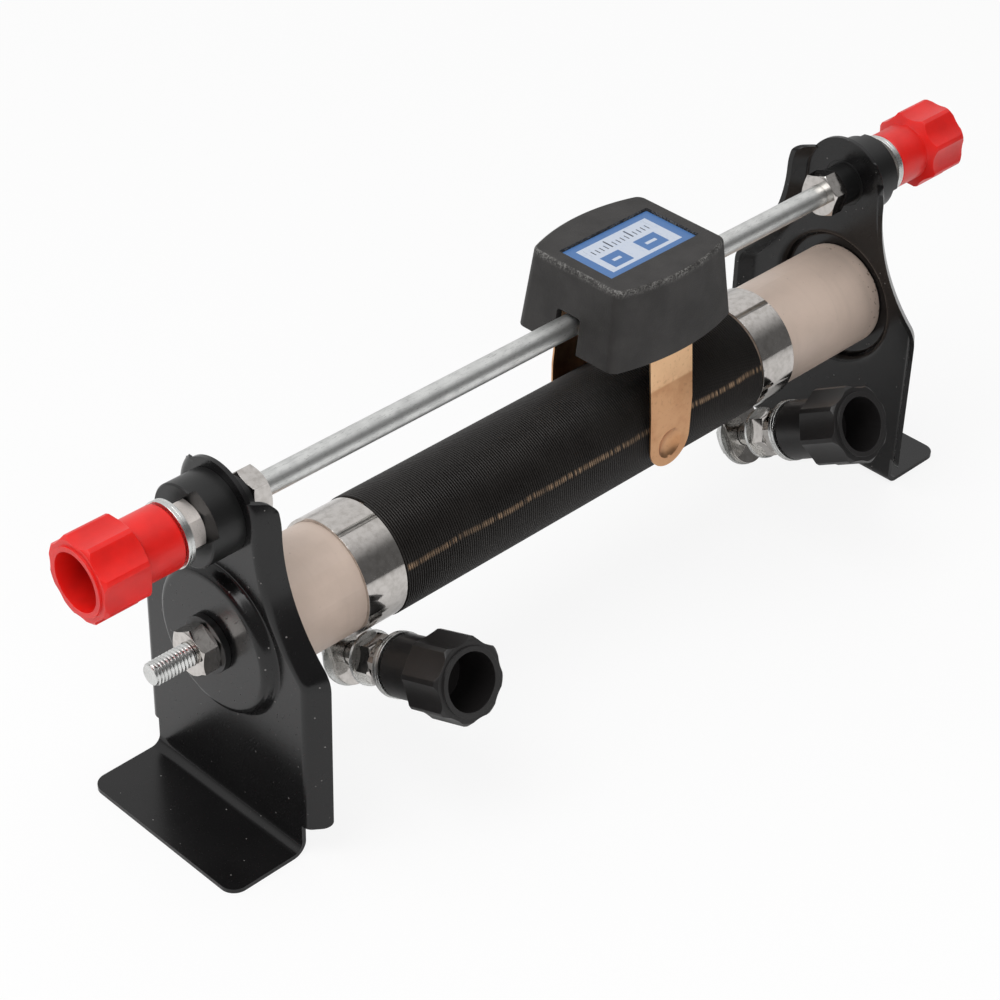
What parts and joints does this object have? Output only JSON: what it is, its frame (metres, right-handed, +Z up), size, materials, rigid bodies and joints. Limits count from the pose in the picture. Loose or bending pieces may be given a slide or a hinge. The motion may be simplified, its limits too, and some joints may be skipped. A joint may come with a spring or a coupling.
{
  "type": "slide rheostat",
  "caption": "Tubular slide rheostat: a wound porcelain tube between steel end brackets, with a slider on a rod above it and screw terminals at both ends.",
  "frame": {"origin": "on the bench plane, under the middle of the part's box", "axes": "+X along the tube, from the left-hand to the right-hand bracket seen from the black terminals' side; +Z up; the black terminals point towards -Y"},
  "size_m": [0.3016, 0.0816, 0.103],
  "materials": {
    "porcelain": "smooth unglazed",
    "oxidised_wire": "dark oxide",
    "black_paint": "semi-gloss",
    "zinc_plate": "bright zinc",
    "nickel_plate": "bright nickel",
    "insulator": "moulded",
    "red_moulding": "glossy moulded",
    "black_moulding": "semi-gloss moulded",
    "housing_moulding": "fine grain",
    "label": "printed film",
    "copper": "rolled copper",
    "brass": "turned"
  },
  "bodies": {
    "frame": {"porcelain_tube": "porcelain", "resistance_winding": "oxidised_wire", "tie_rod": "zinc_plate", "tie_rod_washers": "insulator", "tie_rod_nuts": "nickel_plate", "slide_rod": "zinc_plate", "rod_inner_nuts": "nickel_plate", "rod_outer_nuts": "nickel_plate", "rod_fixed_washers": "zinc_plate", "end_bracket_left": "black_paint", "end_bracket_right": "black_paint", "rod_bush_left": "insulator", "rod_bush_right": "insulator", "rod_collar_left": "insulator", "rod_collar_right": "insulator", "clamp_band_left": "nickel_plate", "clamp_band_right": "nickel_plate", "clamp_screw_left": "zinc_plate", "clamp_screw_right": "zinc_plate", "clamp_nuts": "nickel_plate", "lock_nuts": "nickel_plate", "clamp_fixed_washers": "zinc_plate", "clamp_washers": "zinc_plate"},
    "slider": {"slider_housing": "housing_moulding", "label_plate": "label", "contact_strip": "copper", "strip_screws": "zinc_plate"},
    "red_washer_left": {"red_washer_left": "zinc_plate"},
    "red_cap_left": {"red_cap_left": "red_moulding", "red_insert_left": "brass"},
    "red_washer_right": {"red_washer_right": "zinc_plate"},
    "red_cap_right": {"red_cap_right": "red_moulding", "red_insert_right": "brass"},
    "black_washer_left": {"black_washer_left": "zinc_plate"},
    "black_cap_left": {"black_cap_left": "black_moulding", "black_insert_left": "brass"},
    "black_washer_right": {"black_washer_right": "zinc_plate"},
    "black_cap_right": {"black_cap_right": "black_moulding", "black_insert_right": "brass"}
  },
  "joints": [
    {"name": "slider_travel", "type": "slide", "parent": "frame", "child": "slider", "axis": [1, 0, 0], "range_m": [-0.1002, 0.0532]},
    {"name": "red_left_lift", "type": "slide", "parent": "frame", "child": "red_washer_left", "axis": [-1, 0, 0], "range_m": [0, 0.00602]},
    {"name": "red_left_turn", "type": "hinge", "parent": "red_washer_left", "child": "red_cap_left", "pos_m": [-0.12485, 0.00833, 0.0873], "axis": [-1, 0, 0], "range_deg": [0, 2160]},
    {"name": "red_right_lift", "type": "slide", "parent": "frame", "child": "red_washer_right", "axis": [1, 0, 0], "range_m": [0, 0.00602]},
    {"name": "red_right_turn", "type": "hinge", "parent": "red_washer_right", "child": "red_cap_right", "pos_m": [0.12485, 0.00833, 0.0873], "axis": [1, 0, 0], "range_deg": [0, 2160]},
    {"name": "black_left_lift", "type": "slide", "parent": "frame", "child": "black_washer_left", "axis": [0, -0.9336, 0.3584], "range_m": [0, 0.00602]},
    {"name": "black_left_turn", "type": "hinge", "parent": "black_washer_left", "child": "black_cap_left", "pos_m": [-0.07305, -0.01167, 0.03265], "axis": [0, -0.9336, 0.3584], "range_deg": [0, 2160]},
    {"name": "black_right_lift", "type": "slide", "parent": "frame", "child": "black_washer_right", "axis": [0, -0.8616, 0.5075], "range_m": [0, 0.00602]},
    {"name": "black_right_turn", "type": "hinge", "parent": "black_washer_right", "child": "black_cap_right", "pos_m": [0.06925, -0.01383, 0.03585], "axis": [0, -0.8616, 0.5075], "range_deg": [0, 2160]}
  ],
  "couplings": [
    {"joint": "red_left_lift", "follows": "red_left_turn", "m_per_rad": 0.00015915},
    {"joint": "red_right_lift", "follows": "red_right_turn", "m_per_rad": 0.00015915},
    {"joint": "black_left_lift", "follows": "black_left_turn", "m_per_rad": 0.00015915},
    {"joint": "black_right_lift", "follows": "black_right_turn", "m_per_rad": 0.00015915}
  ]
}
